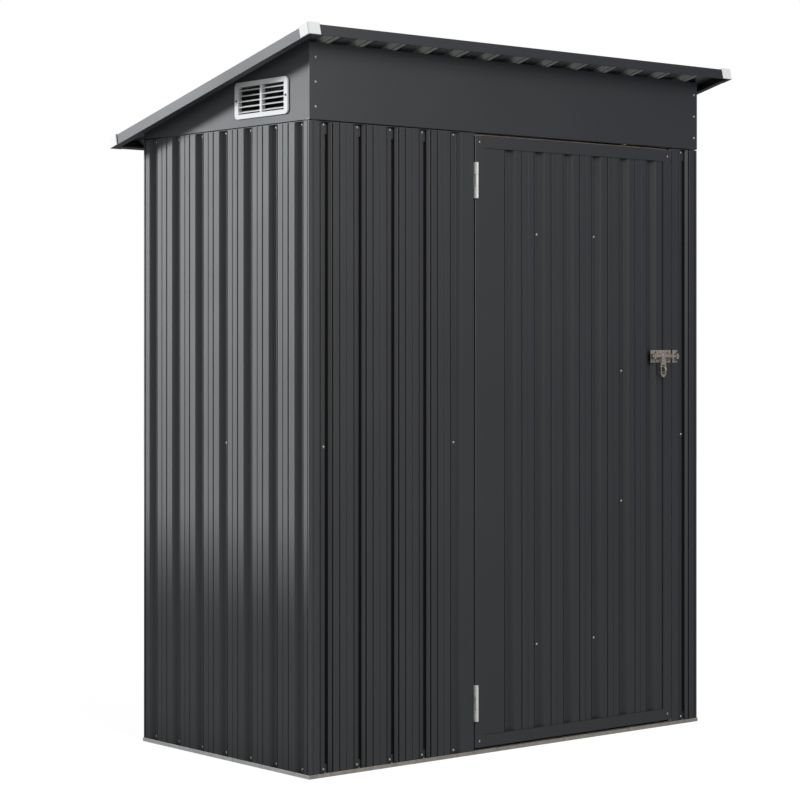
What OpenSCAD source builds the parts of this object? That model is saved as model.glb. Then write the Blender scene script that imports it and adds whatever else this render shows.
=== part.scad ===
// Metal storage shed with a lean-to roof, high side at the front.
// Ribbed steel sheets on folded rails, one door hung on the left,
// a slide bolt with a tongue that drops over a staple.
// Millimetres. +Z up, the front faces -Y, +X to the right of a person who looks at the door.
// Origin: on the ground, below the middle of the whole shed.

/* [Walls] */
// outer width of the wall sheets
wall_w = 1390; // [1100:10:2200]
// outer depth of the wall sheets
wall_d = 730; // [560:10:1600]
// height of the walls' top rails above the ground
wall_h = 1622; // [1300:1:2100]
// thickness of the sheets
sheet_t = 1.2; // [0.8:0.1:2]

/* [Ribbed sheet] */
// distance from groove to groove
groove_pitch = 107; // [80:1:140]
// width of a groove at the face of the sheet
groove_mouth = 33; // [20:1:50]
// width of a groove's floor
groove_floor = 15; // [8:1:24]
// smallest distance from a corner to the middle of the first groove
groove_edge = 36; // [30:1:60]
// depth of a groove
groove_d = 12; // [6:0.5:16]
// width of the shallow recess in the middle of each flat
swage_w = 20; // [10:1:30]
// depth of that recess
swage_d = 1.8; // [0.4:0.1:3]
// smallest flat between a sheet's edge and its first groove
edge_flat = 12; // [6:0.5:20]

/* [Rails] */
// thickness of the folded rails, posts and straps
rail_t = 1.2; // [1:0.1:2]
// height of the base rail's outer lip
base_lip_h = 10; // [6:1:20]
// height of the rails' inner legs
rail_leg_h = 30; // [20:1:50]
// how far the base rail stands out past the wall
base_proud = 2; // [1.5:0.5:5]
// height of the header strip that hangs behind the door's top
header_h = 34; // [20:1:60]
// length of the legs of the posts, where the flat beside them is wide enough
post_leg = 24; // [16:1:33]
// height of the middle straps above the ground
strap_z = 817; // [600:1:1000]
// width of the straps
strap_w = 30; // [20:1:50]

/* [Roof] */
// slope of the roof in degrees
roof_slope = 14.1; // [8:0.1:20]
// height of the closing strip between the back wall and the roof
back_strip_h = 10; // [6:1:40]
// how far the roof reaches past the front wall, along the slope
front_overhang = 76; // [40:1:160]
// how far the roof reaches past the back wall, along the slope
back_overhang = 76; // [40:1:160]
// how far the roof reaches past each side wall
side_overhang = 59; // [30:1:120]
// height of the roof's edge trim
trim_h = 28; // [24:1:50]
// width of the edge trim's flanges
trim_flange = 20; // [12:1:30]
// length of each leg of the corner caps
cap_l = 34; // [30:1:60]
// thickness of the corner caps
cap_t = 3; // [2:0.5:5]
// width of the two beams under the roof
beam_w = 24; // [16:1:40]
// height of the two beams under the roof
beam_h = 22; // [16:1:24]

/* [Door] */
// door's left edge, measured from the left wall's outside
door_x = 546.5; // [200:0.5:700]
// width of the door
door_w = 736; // [500:1:900]
// clearance above the door, under the top rail
door_top_gap = 5.5; // [5:0.5:10]
// clearance under the door, above the base rail's lip
door_bottom_gap = 7; // [5:0.5:12]
// clearance between the door's edges and the wall sheets
door_side_gap = 5; // [5:0.5:8]
// width of the door frame's face
frame_w = 31; // [24:1:45]
// depth of the door frame
frame_d = 16.4; // [16:0.2:25]
// first groove of the door's sheet, from the door's left edge
door_groove_x = 125; // [60:1:200]
// distance of the door's cross straps from its top and bottom edges
door_strap_in = 251; // [150:1:400]

/* [Hinges] */
// outer radius of the hinge knuckles
knuckle_r = 4.5; // [3.5:0.1:7]
// radius of the hinge pin
hinge_pin_r = 2; // [1.5:0.1:3]
// radial clearance of the hinge pin
pin_clear = 0.1; // [0.05:0.01:0.3]
// how far the hinge pin stands in front of the door's face
hinge_out = 6; // [5:0.5:10]
// length of a hinge
hinge_l = 94; // [60:1:140]
// distance of each hinge's middle from the door's bottom or top edge
hinge_in = 117; // [80:1:300]

/* [Latch] */
// height of the bolt's rod above the ground
bolt_z = 1037; // [700:1:1300]
// radius of the bolt's rod
bolt_r = 4; // [3:0.1:6]
// length of the rod
bolt_l = 105; // [80:1:140]
// how far the rod reaches past the door's edge
bolt_reach = 22; // [14:1:40]
// radial clearance of the rod in its guides
bolt_clear = 0.4; // [0.2:0.1:1]
// distance of the rod's axis in front of the door's face
bolt_out = 9.5; // [8:0.5:14]
// length of the latch plate
latch_l = 80; // [60:1:120]
// height of the latch plate and of the keeper plate
latch_h = 35; // [25:1:50]
// thickness of the plates
plate_t = 1.5; // [1:0.1:3]
// width of each rod guide
guide_w = 7; // [5:0.5:12]
// width of the tongue's collar
collar_w = 13; // [8:1:20]
// width of the tongue
tongue_w = 21; // [18:1:40]
// length of the tongue below the rod's axis
tongue_l = 58; // [45:1:90]
// thickness of the tongue
tongue_t = 2; // [1.5:0.1:3]
// width of the slot in the tongue
slot_w = 12; // [11:0.5:16]
// height of the slot in the tongue
slot_h = 26; // [24:1:34]
// how far the staple's middle lies below the rod's axis
staple_drop = 37; // [30:1:50]
// radius of the staple's wire
staple_r = 2.5; // [2:0.1:4]
// radius of the staple's bend, to the middle of the wire
staple_bend = 8; // [6:0.5:12]
// how far the staple stands out from the door's face
staple_out = 28; // [24:0.5:34]

/* [Vents] */
// width of a vent
vent_w = 224; // [150:1:260]
// height of a vent
vent_h = 94; // [60:1:100]
// middle of a vent, from the front wall's outside
vent_y = 196; // [150:1:300]
// height of a vent's lower edge above the top rail
vent_up = 22; // [12:1:60]
// thickness of a vent's rim
vent_t = 4; // [2:0.5:8]
// distance from blade to blade in a vent
vent_pitch = 13.8; // [10:0.1:20]
// width of a vent's rim at the front and back
vent_side = 16; // [12:0.5:24]
// height of a vent's rim above and below the blades
vent_rim = 12; // [10:0.5:20]
// depth of a vent's throat behind the panel
vent_deep = 8; // [4:0.5:20]

/* [Hidden] */
$fn = 32;
fit = 0.2;                          // gap between pieces that meet
touch = 0.1;                        // gap between faces that rest on each other
big = 400;                          // reach of the cutting blocks
swage_side = 2;                     // width of the shallow recess' slanted sides
deep = groove_d + sheet_t;          // depth of a ribbed sheet
leg_y = deep + touch;                // depth of the rails' inner legs
n_front = floor((wall_w - 2 * groove_edge) / groove_pitch) + 1;
n_side = floor((wall_d - 2 * groove_edge) / groove_pitch) + 1;
first_front = (wall_w - (n_front - 1) * groove_pitch) / 2;
first_side = (wall_d - (n_side - 1) * groove_pitch) / 2;
front_grooves = [for (i = [0:n_front - 1]) first_front + i * groove_pitch];
side_grooves = [for (i = [0:n_side - 1]) first_side + i * groove_pitch];

sheet_z0 = rail_t + fit;            // foot of the wall sheets
top_z = wall_h - rail_t;            // underside of the top rails' plates
sheet_z1 = top_z - fit;             // head of the wall sheets
rail_in = sheet_t + rail_t + 2 * fit; // ends of the long top rails, inside the corner posts

door_z0 = base_lip_h + door_bottom_gap;
door_z1 = top_z - door_top_gap;
door_x1 = door_x + door_w;
header_y = frame_d + door_side_gap; // front of the header strip
open_x0 = door_x - door_side_gap;   // left edge of the doorway
latch_gap = 0.5;                    // what the latch side has over the hinge side
open_x1 = door_x1 + door_side_gap + latch_gap;
strap_in = 8;                       // where the middle straps start, from a corner
behind_open = 2;                    // how far strips behind the sheets stay off the doorway
proud = 1;                          // how far the panels reach past the side walls
header_more = 20;                   // how far the header strip runs past the doorway

// grooves that fit whole on a sheet from a to b
function inside(a, b, g) = [for (c = g)
    if (c - groove_mouth / 2 > a + edge_flat && c + groove_mouth / 2 < b - edge_flat) c];
left_in = inside(sheet_t + fit / 2, open_x0, front_grooves);
right_in = inside(open_x1, wall_w - sheet_t - fit / 2, front_grooves);
// legs of the posts end before the nearest groove
leg_front = min(post_leg, first_front - groove_mouth / 2 - sheet_t - fit - 1);
leg_side = min(post_leg, first_side - groove_mouth / 2 - sheet_t - fit - 1);
leg_left = min(post_leg, open_x0 - (len(left_in) > 0 ? left_in[len(left_in) - 1] : 0)
    - groove_mouth / 2 - 1);
leg_right = min(post_leg, (len(right_in) > 0 ? right_in[0] : wall_w) - groove_mouth / 2
    - open_x1 - 1);

vent_wall = 1.5;                    // thickness of the vent's throat
vent_hole_y = vent_side - vent_wall - 0.5;
vent_hole_z = vent_rim - vent_wall - 0.5;
gable_h = back_strip_h + wall_d * tan(roof_slope);
roof_z = wall_h + gable_h;          // underside of the roof's grooves at the front wall
slope_d = wall_d / cos(roof_slope);
v0 = -front_overhang;
v1 = slope_d + back_overhang;
roof_x0 = -side_overhang;
roof_x1 = wall_w + side_overhang;
trim_top = deep + touch + rail_t;    // above the roof's groove floors
trim_low = trim_top - trim_h;

// middle of the whole shed, front to back
y_lo = (v0 - cap_t) * cos(roof_slope) + trim_low * sin(roof_slope);
y_hi = (v1 + cap_t) * cos(roof_slope) + (trim_top + cap_t) * sin(roof_slope);
y_mid = (y_lo + y_hi) / 2;

// everything is drawn from the left front wall corner, then moved over the origin
module place() {
    translate([-wall_w / 2, -y_mid, 0]) children();
}

// flat outline of a ribbed sheet from a to b, grooves at the given places, depth along +Y
function swage(m) = [[m - swage_w / 2, 0], [m - swage_w / 2 + swage_side, swage_d],
    [m + swage_w / 2 - swage_side, swage_d], [m + swage_w / 2, 0]];
function groove(c) = [[c - groove_mouth / 2, 0], [c - groove_floor / 2, groove_d],
    [c + groove_floor / 2, groove_d], [c + groove_mouth / 2, 0]];
function face(a, b, g) = concat([[a, 0]],
    [for (i = [0:len(g) - 1]) each concat(groove(g[i]),
        i < len(g) - 1 ? swage((g[i] + g[i + 1]) / 2) : [])],
    [[b, 0]]);

module sheet_outline(a, b, grooves) {
    f = face(a, b, inside(a, b, grooves));
    n = len(f);
    polygon(concat(f, [for (i = [n - 1:-1:0]) f[i] + [0, sheet_t]]));
}

// ribbed wall sheet that stands behind the line y = 0
module wall_sheet(a, b, grooves, z0, z1) {
    translate([0, 0, z0]) linear_extrude(z1 - z0) sheet_outline(a, b, grooves);
}

// carries a piece of the front wall to each of the other walls
module on_left() { translate([0, wall_d, 0]) rotate([0, 0, -90]) children(); }
module on_right() { translate([wall_w, 0, 0]) rotate([0, 0, 90]) children(); }
module on_back() { translate([wall_w, wall_d, 0]) rotate([0, 0, 180]) children(); }

// cuts both ends of a rail of length l along 45 degree planes, from z0 up
module mitred(l, z0, tall) {
    difference() {
        children();
        for (s = [0, 1])
            translate([s * l, 0, z0 - 1]) rotate([0, 0, 45 - s * 90])
                translate([-big / 2, -touch, 0]) cube([big, big, tall + 2]);
    }
}

// base rail: outer lip, plate on the ground, inner leg behind the sheet
module base_rail(l, leg_h) {
    mitred(l, 0, rail_leg_h)
        translate([-base_proud, 0, 0]) rotate([90, 0, 90]) linear_extrude(l + 2 * base_proud)
            polygon([[-base_proud, 0], [leg_y + rail_t, 0], [leg_y + rail_t, leg_h],
                [leg_y, leg_h], [leg_y, rail_t], [rail_t - base_proud, rail_t],
                [rail_t - base_proud, base_lip_h], [-base_proud, base_lip_h]]);
}

// top rail: plate over the sheet, inner leg behind it
module top_rail(x0, x1) {
    translate([x0, 0, 0]) rotate([90, 0, 90]) linear_extrude(x1 - x0)
        polygon([[2, top_z], [leg_y, top_z], [leg_y, top_z - rail_leg_h],
            [leg_y + rail_t, top_z - rail_leg_h], [leg_y + rail_t, wall_h], [2, wall_h]]);
}

// folded post, fold at the origin, legs of length a along +X and b along +Y
module post_outline(a, b) {
    polygon([[0, 0], [a, 0], [a, rail_t], [rail_t, rail_t], [rail_t, b], [0, b]]);
}

// folded post in a corner of the walls
module corner_post() {
    translate([sheet_t + fit, sheet_t + fit, rail_t]) linear_extrude(top_z - rail_t)
        post_outline(leg_front, leg_side);
}

// folded post at an edge of the doorway; the fold is at x = 0, the leg runs along +X
module door_post(leg) {
    translate([0, sheet_t + touch, rail_t]) linear_extrude(top_z - rail_t - fit)
        post_outline(leg, leg_y - sheet_t - touch - 2 * fit);
}

module base_front_rail() { color("darkgray") place() base_rail(wall_w, base_lip_h); }
module base_back_rail() { color("darkgray") place() on_back() base_rail(wall_w, rail_leg_h); }
module base_left_rail() { color("darkgray") place() on_left() base_rail(wall_d, rail_leg_h); }
module base_right_rail() { color("darkgray") place() on_right() base_rail(wall_d, rail_leg_h); }

// strips behind the foot of the front sheets, on both sides of the doorway
module front_upstands() {
    color("dimgray") place() for (x = [[leg_y + rail_t + fit, open_x0 - behind_open],
            [open_x1 + behind_open, wall_w - leg_y - rail_t - fit]])
        translate([x[0], leg_y, base_lip_h + touch])
            cube([x[1] - x[0], rail_t, rail_leg_h - base_lip_h]);
}

module corner_post_front_left() { color("dimgray") place() corner_post(); }
module corner_post_front_right() {
    color("dimgray") place() translate([wall_w, 0, 0]) mirror([1, 0, 0]) corner_post();
}
module corner_post_back_left() {
    color("dimgray") place() translate([0, wall_d, 0]) mirror([0, 1, 0]) corner_post();
}
module corner_post_back_right() {
    color("dimgray") place() translate([wall_w, wall_d, 0]) rotate([0, 0, 180]) corner_post();
}
module door_posts() {
    color("darkgray") place() {
        translate([open_x0, 0, 0]) mirror([1, 0, 0]) door_post(leg_left);
        translate([open_x1, 0, 0]) door_post(leg_right);
    }
}

module front_wall_left() {
    color("dimgray") place()
        wall_sheet(sheet_t + fit / 2, open_x0, front_grooves, sheet_z0, sheet_z1);
}
module front_wall_right() {
    color("dimgray") place()
        wall_sheet(open_x1, wall_w - sheet_t - fit / 2, front_grooves, sheet_z0, sheet_z1);
}
module left_wall() {
    color("dimgray") place() on_left() wall_sheet(0, wall_d, side_grooves, sheet_z0, sheet_z1);
}
module right_wall() {
    color("dimgray") place() on_right() wall_sheet(0, wall_d, side_grooves, sheet_z0, sheet_z1);
}
module back_wall() {
    color("dimgray") place() on_back()
        wall_sheet(sheet_t + fit / 2, wall_w - sheet_t - fit / 2, front_grooves,
            sheet_z0, sheet_z1);
}

// flat straps behind the grooves, half way up each wall
module wall_straps() {
    side_in = leg_y + strap_in / 2;
    color("darkgray") place() {
        translate([sheet_t + strap_in, leg_y, strap_z - strap_w / 2])
            cube([open_x0 - behind_open - strap_in - sheet_t, rail_t, strap_w]);
        translate([open_x1 + behind_open, leg_y, strap_z - strap_w / 2])
            cube([wall_w - open_x1 - behind_open - strap_in - sheet_t, rail_t, strap_w]);
        on_left() translate([side_in, leg_y, strap_z - strap_w / 2])
            cube([wall_d - 2 * side_in, rail_t, strap_w]);
        on_right() translate([side_in, leg_y, strap_z - strap_w / 2])
            cube([wall_d - 2 * side_in, rail_t, strap_w]);
        on_back() translate([strap_in, leg_y, strap_z - strap_w / 2])
            cube([wall_w - 2 * strap_in, rail_t, strap_w]);
    }
}

module top_front_rails() {
    color("dimgray") place() {
        top_rail(rail_in, open_x0);
        top_rail(open_x1, wall_w - rail_in);
    }
}
module top_back_rail() { color("dimgray") place() on_back() top_rail(rail_in, wall_w - rail_in); }
module top_left_rail() {
    color("dimgray") place() on_left()
        top_rail(leg_y + rail_t + fit, wall_d - leg_y - rail_t - fit);
}
module top_right_rail() {
    color("dimgray") place() on_right()
        top_rail(leg_y + rail_t + fit, wall_d - leg_y - rail_t - fit);
}

// header strip that hangs behind the door from the fascia's flange
module door_header() {
    color("darkgray") place()
        translate([open_x0 - header_more, header_y, wall_h - header_h])
            cube([open_x1 - open_x0 + 2 * header_more, rail_t, header_h - touch]);
}

// flat panel over the door side, with a flange that rests on the top rails
module front_fascia() {
    color("dimgray") place() {
        translate([-proud, 0, wall_h])
            cube([wall_w + 2 * proud, sheet_t, gable_h - sheet_t]);
        translate([sheet_t, 0, wall_h]) cube([wall_w - 2 * sheet_t, header_y + rail_t, rail_t]);
    }
}

// folded posts behind the two ends of the fascia
module fascia_posts() {
    h = gable_h - 12;
    color("dimgray") place() for (s = [0, 1])
        translate([s * wall_w, 0, 0]) mirror([s, 0, 0])
            translate([sheet_t + fit, sheet_t + fit, wall_h + rail_t]) linear_extrude(h)
                post_outline(post_leg, post_leg);
}

// side panel under the slope, seen from outside with the front at y = 0
module gable(outside) {
    a = sheet_t + fit;
    b = wall_d - sheet_t - fit;
    difference() {
        union() {
            rotate([90, 0, 90]) linear_extrude(sheet_t)
                polygon([[a, wall_h], [b, wall_h],
                    [b, roof_z + (groove_d - 0.3) / cos(roof_slope) - b * tan(roof_slope)],
                    [a, roof_z + (groove_d - 0.3) / cos(roof_slope) - a * tan(roof_slope)]]);
            translate([0, header_y + rail_t + fit, wall_h])
                cube([18, wall_d - header_y - rail_t - 22 - fit, rail_t]);
        }
        // hole behind the vent
        translate([-5, vent_y - vent_w / 2 + vent_hole_y, wall_h + vent_up + vent_hole_z])
            cube([20, vent_w - 2 * vent_hole_y, vent_h - 2 * vent_hole_z]);
    }
}
module left_gable() { color("gray") place() gable(); }
module right_gable() {
    color("gray") place() translate([wall_w, 0, 0]) mirror([1, 0, 0]) gable();
}
module back_strip() {
    color("dimgray") place() {
        translate([-proud, wall_d - sheet_t, wall_h])
            cube([wall_w + 2 * proud, sheet_t, back_strip_h - fit]);
        translate([20, wall_d - 20, wall_h]) cube([wall_w - 40, 20, rail_t]);
    }
}

// louvred vent: rim, throat through the panel and two fields of slanted blades,
// outer face towards -X
module vent() {
    corner = 12;
    mull = 8;
    blade_t = 1.4;
    blade_rise = 4.3;
    foot_gap = 3;
    half = (vent_w - 2 * vent_side - mull) / 2;
    tall = vent_h - 2 * vent_rim;
    translate([0, vent_y - vent_w / 2, wall_h + vent_up]) {
        difference() {
            union() {
                translate([-vent_t, corner, 0])
                    cube([vent_t - touch, vent_w - 2 * corner, vent_h]);
                translate([-vent_t, 0, corner])
                    cube([vent_t - touch, vent_w, vent_h - 2 * corner]);
                for (y = [corner, vent_w - corner], z = [corner, vent_h - corner])
                    translate([-vent_t, y, z]) rotate([0, 90, 0])
                        cylinder(r = corner, h = vent_t - touch);
                translate([-1, vent_side - vent_wall, vent_rim - vent_wall])
                    cube([vent_deep + 1, vent_w - 2 * (vent_side - vent_wall),
                        tall + 2 * vent_wall]);
            }
            for (s = [0, 1])
                translate([-vent_t - 1, vent_side + s * (half + mull), vent_rim])
                    cube([vent_t + vent_deep + 2, half, tall]);
        }
        // blades rise inwards
        for (s = [0, 1], z = [vent_rim + foot_gap:vent_pitch:vent_h - vent_rim - vent_pitch / 2])
            translate([0, vent_side - 0.5 + s * (half + mull) + half + 1, z])
                rotate([90, 0, 0]) linear_extrude(half + 1)
                    polygon([[-vent_t, blade_t], [-vent_t, 0], [vent_deep - 2, blade_rise],
                        [vent_deep - 2, blade_rise + blade_t]]);
    }
}
module left_vent() { color("whitesmoke") place() vent(); }
module right_vent() {
    color("whitesmoke") place() translate([wall_w, 0, 0]) mirror([1, 0, 0]) vent();
}

// the roof's own frame: y down the slope from above the front wall's face,
// z square to the roof, z = 0 under the grooves
module on_roof() {
    place() translate([0, 0, roof_z]) rotate([-roof_slope, 0, 0]) children();
}

module roof_sheet() {
    e = rail_t + fit;
    color("dimgray") on_roof() translate([0, v0 + e, deep]) rotate([-90, 0, 0])
        linear_extrude(v1 - v0 - 2 * e)
            sheet_outline(roof_x0 + e, roof_x1 - e, front_grooves);
}

// two channels under the roof, from gable to gable
module roof_beams() {
    color("darkgray") on_roof() for (k = [1, 2])
        translate([sheet_t + fit, k * slope_d / 3 - beam_w / 2, -0.1])
            rotate([90, 0, 90]) linear_extrude(wall_w - 2 * sheet_t - 2 * fit)
                polygon([[0, 0], [beam_w, 0], [beam_w, -beam_h], [beam_w - rail_t, -beam_h],
                    [beam_w - rail_t, -rail_t], [rail_t, -rail_t], [rail_t, -beam_h],
                    [0, -beam_h]]);
}

// channel that wraps an edge of the roof, web on the line y = 0
module roof_trim(l) {
    mitred(l, trim_low, trim_h)
        rotate([90, 0, 90]) linear_extrude(l)
            polygon([[0, trim_low], [trim_flange, trim_low], [trim_flange, trim_low + rail_t],
                [rail_t, trim_low + rail_t], [rail_t, trim_top - rail_t],
                [trim_flange, trim_top - rail_t], [trim_flange, trim_top], [0, trim_top]]);
}
module roof_trim_front() {
    color("dimgray") on_roof() translate([roof_x0, v0, 0]) roof_trim(roof_x1 - roof_x0);
}
module roof_trim_back() {
    color("dimgray") on_roof() translate([roof_x1, v1, 0]) rotate([0, 0, 180])
        roof_trim(roof_x1 - roof_x0);
}
module roof_trim_left() {
    color("dimgray") on_roof() translate([roof_x0, v1, 0]) rotate([0, 0, -90])
        roof_trim(v1 - v0);
}
module roof_trim_right() {
    color("dimgray") on_roof() translate([roof_x1, v0, 0]) rotate([0, 0, 90])
        roof_trim(v1 - v0);
}

// plastic cap over a corner of the trims, corner at the origin, legs along +X and +Y
module corner_cap() {
    r = 5;
    l = cap_l + cap_t;
    difference() {
        translate([-cap_t, -cap_t, trim_low]) linear_extrude(trim_h + cap_t) union() {
            translate([r, 0]) square([l - r, l]);
            translate([0, r]) square([l, l - r]);
            translate([r, r]) circle(r);
        }
        translate([-0.1, -0.1, trim_low - 1]) cube([l + 2, l + 2, trim_h + 1.1]);
    }
}
module roof_caps() {
    color("white") on_roof() {
        translate([roof_x0, v0, 0]) corner_cap();
        translate([roof_x1, v0, 0]) rotate([0, 0, 90]) corner_cap();
        translate([roof_x1, v1, 0]) rotate([0, 0, 180]) corner_cap();
        translate([roof_x0, v1, 0]) rotate([0, 0, -90]) corner_cap();
    }
}

// hinges: the wall's leaf carries the pin and the two end knuckles
hinge_z = [door_z0 + hinge_in, door_z1 - hinge_in];
third = hinge_l / 3;
module hinge_leaf_wall() {
    translate([open_x0, 0.4, -hinge_l / 2]) cube([1.5, leg_y - 1, hinge_l]);
    for (z = [-hinge_l / 2, third / 2 + 0.25])
        translate([open_x0, -hinge_out, z]) cube([1.5, hinge_out + 1, third - 0.25]);
    for (z = [-hinge_l / 2, third / 2 + 0.25])
        translate([door_x, -hinge_out, z]) cylinder(r = knuckle_r, h = third - 0.25);
    translate([door_x, -hinge_out, -hinge_l / 2]) cylinder(r = hinge_pin_r, h = hinge_l);
}
module hinge_leaf_door() {
    h = third - 0.5;
    difference() {
        union() {
            translate([door_x - 1.5, -hinge_out, -h / 2]) cube([1.5, hinge_out + frame_d - 2, h]);
            translate([door_x, -hinge_out, -h / 2]) cylinder(r = knuckle_r, h = h);
        }
        translate([door_x, -hinge_out, -h])
            cylinder(r = hinge_pin_r + pin_clear, h = 2 * h);
    }
}
module hinge_leaves_wall() {
    color("silver") place() for (z = hinge_z) translate([0, 0, z]) hinge_leaf_wall();
}
module hinge_leaves_door() {
    color("silver") place() for (z = hinge_z) translate([0, 0, z]) hinge_leaf_door();
}

// door: four folded frame pieces round a ribbed sheet
door_grooves = [for (x = [door_x + door_groove_x:groove_pitch:door_x1 - 30]) x];
module door_stile() {
    translate([0, 0, door_z0]) linear_extrude(door_z1 - door_z0)
        polygon([[0, 0], [frame_w, 0], [frame_w, rail_t], [rail_t, rail_t],
            [rail_t, frame_d], [0, frame_d]]);
}
module door_rail() {
    e = frame_w + fit / 2;
    translate([e, 0, 0]) rotate([90, 0, 90]) linear_extrude(door_w - 2 * e)
        polygon([[0, 0], [frame_d, 0], [frame_d, rail_t], [rail_t, rail_t],
            [rail_t, frame_w], [0, frame_w]]);
}
module door_stile_hinge() { color("dimgray") place() translate([door_x, 0, 0]) door_stile(); }
module door_stile_latch() {
    color("dimgray") place() translate([door_x1, 0, 0]) mirror([1, 0, 0]) door_stile();
}
module door_rail_bottom() {
    color("dimgray") place() translate([door_x, 0, door_z0]) door_rail();
}
module door_rail_top() {
    color("dimgray") place() translate([door_x, 0, door_z1]) mirror([0, 0, 1]) door_rail();
}
module door_sheet() {
    e = rail_t + fit;
    color("dimgray") place() translate([0, rail_t + 0.1, 0])
        wall_sheet(door_x + e, door_x1 - e, door_grooves, door_z0 + e, door_z1 - e);
}
// two cross straps and one upright strap behind the door's sheet
module door_straps() {
    e = rail_t + fit;
    y = rail_t + 0.1 + deep + 0.1;
    lo = door_z0 + door_strap_in;
    hi = door_z1 - door_strap_in;
    color("darkgray") place() {
        for (z = [lo, hi]) translate([door_x + e, y, z - strap_w / 2])
            cube([door_w - 2 * e, rail_t, strap_w]);
        translate([door_grooves[len(door_grooves) - 2] - strap_w / 2, y, lo + strap_w / 2 + 0.1])
            cube([strap_w, rail_t, hi - lo - strap_w - 0.2]);
    }
}

// latch: plate and guides on the door, keeper on the wall, rod and tongue
latch_x0 = door_x1 - 1 - latch_l;
keeper_x0 = open_x1 + 0.5;
lug_h = 2 * (bolt_r + 3);
lug_out = bolt_out + bolt_r + 2;
tongue_x = door_x1 - 44.5;
collar_r = bolt_r + 2.5;

// block with a hole for the rod, from x = 0 to x = w, the rod's axis at z = 0
module rod_lug(w, clear) {
    difference() {
        translate([0, -lug_out, -lug_h / 2]) cube([w, lug_out - plate_t, lug_h]);
        translate([-1, -bolt_out, 0]) rotate([0, 90, 0]) cylinder(r = bolt_r + clear, h = w + 2);
    }
}
module latch_plate() {
    color("silver") place() translate([latch_x0, -plate_t, bolt_z - latch_h / 2])
        cube([latch_l, plate_t, latch_h]);
}
module latch_guides() {
    color("silver") place() for (x = [latch_x0 + 0.5, latch_x0 + latch_l - 0.5 - guide_w])
        translate([x, 0, bolt_z]) rod_lug(guide_w, bolt_clear);
}
module keeper() {
    color("silver") place() {
        translate([keeper_x0, -plate_t, bolt_z - latch_h / 2]) cube([20, plate_t, latch_h]);
        translate([keeper_x0 + 4, 0.1, bolt_z]) rod_lug(8, 2 * bolt_clear);
    }
}
module latch_bolt() {
    color("silver") place()
        translate([door_x1 + bolt_reach - bolt_l, -bolt_out, bolt_z]) rotate([0, 90, 0]) {
            cylinder(r1 = bolt_r - 1, r2 = bolt_r, h = 1);
            translate([0, 0, 1]) cylinder(r = bolt_r, h = bolt_l - 2);
            translate([0, 0, bolt_l - 1]) cylinder(r1 = bolt_r, r2 = bolt_r - 1, h = 1);
        }
}
// collar on the rod with a slotted tongue that hangs in front of the staple
module latch_tongue() {
    w = tongue_w / 2;
    c = collar_w / 2;
    color("silver") place() translate([tongue_x, -bolt_out, bolt_z]) difference() {
        union() {
            translate([-c, 0, 0]) rotate([0, 90, 0]) cylinder(r = collar_r, h = collar_w);
            translate([0, -collar_r + tongue_t, 0]) rotate([90, 0, 0]) linear_extrude(tongue_t)
                polygon([[-c, 0], [c, 0], [c, -16], [w, -21], [w, 8 - tongue_l],
                    [4, -tongue_l], [-4, -tongue_l], [-w, 8 - tongue_l], [-w, -21], [-c, -16]]);
        }
        translate([-c - 1, 0, 0]) rotate([0, 90, 0])
            cylinder(r = bolt_r + 0.2, h = collar_w + 2);
        translate([-slot_w / 2, -collar_r - 1, -staple_drop - slot_h / 2])
            cube([slot_w, tongue_t + 2, slot_h]);
    }
}
// wire staple on its own small plate
module staple() {
    y1 = staple_out - staple_bend - staple_r;
    color("silver") place() translate([tongue_x - 2, rail_t, bolt_z - staple_drop]) {
        translate([-9, -plate_t, -15]) cube([18, plate_t, 30]);
        for (s = [-1, 1]) translate([0, -y1 - rail_t, s * staple_bend]) rotate([-90, 0, 0])
            cylinder(r = staple_r, h = y1 + rail_t - plate_t / 2);
        translate([0, -y1 - rail_t, 0]) rotate([0, 90, 0]) difference() {
            rotate_extrude() translate([staple_bend, 0]) circle(staple_r);
            translate([-20, 0, -5]) cube([40, 20, 10]);
        }
    }
}

base_front_rail();
front_upstands();
base_back_rail();
base_left_rail();
base_right_rail();
corner_post_front_left();
corner_post_front_right();
corner_post_back_left();
corner_post_back_right();
door_posts();
front_wall_left();
front_wall_right();
left_wall();
right_wall();
back_wall();
wall_straps();
top_front_rails();
door_header();
top_back_rail();
top_left_rail();
top_right_rail();
front_fascia();
fascia_posts();
left_gable();
right_gable();
back_strip();
left_vent();
right_vent();
roof_sheet();
roof_beams();
roof_trim_front();
roof_trim_back();
roof_trim_left();
roof_trim_right();
roof_caps();
hinge_leaves_wall();
keeper();
door_stile_hinge();
door_stile_latch();
door_rail_top();
door_rail_bottom();
door_sheet();
door_straps();
hinge_leaves_door();
latch_plate();
latch_guides();
staple();
latch_bolt();
latch_tongue();
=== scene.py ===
# %% [markdown]
# # A metal storage shed
#
# A small lean-to shed of dark grey steel: ribbed sheets on a light galvanised frame, one
# door on the left hinge, a slide bolt, two white vents and white caps on the roof's corners.
#
# The construction is already fixed: every rail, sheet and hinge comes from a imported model.
# This lesson gives those pieces their finish, and remakes the ones whose look depends on
# small things, such as the soft bends of pressed steel.

# %% Load the frame
import math

import bmesh
import bpy
from mathutils import Matrix, Vector


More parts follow.
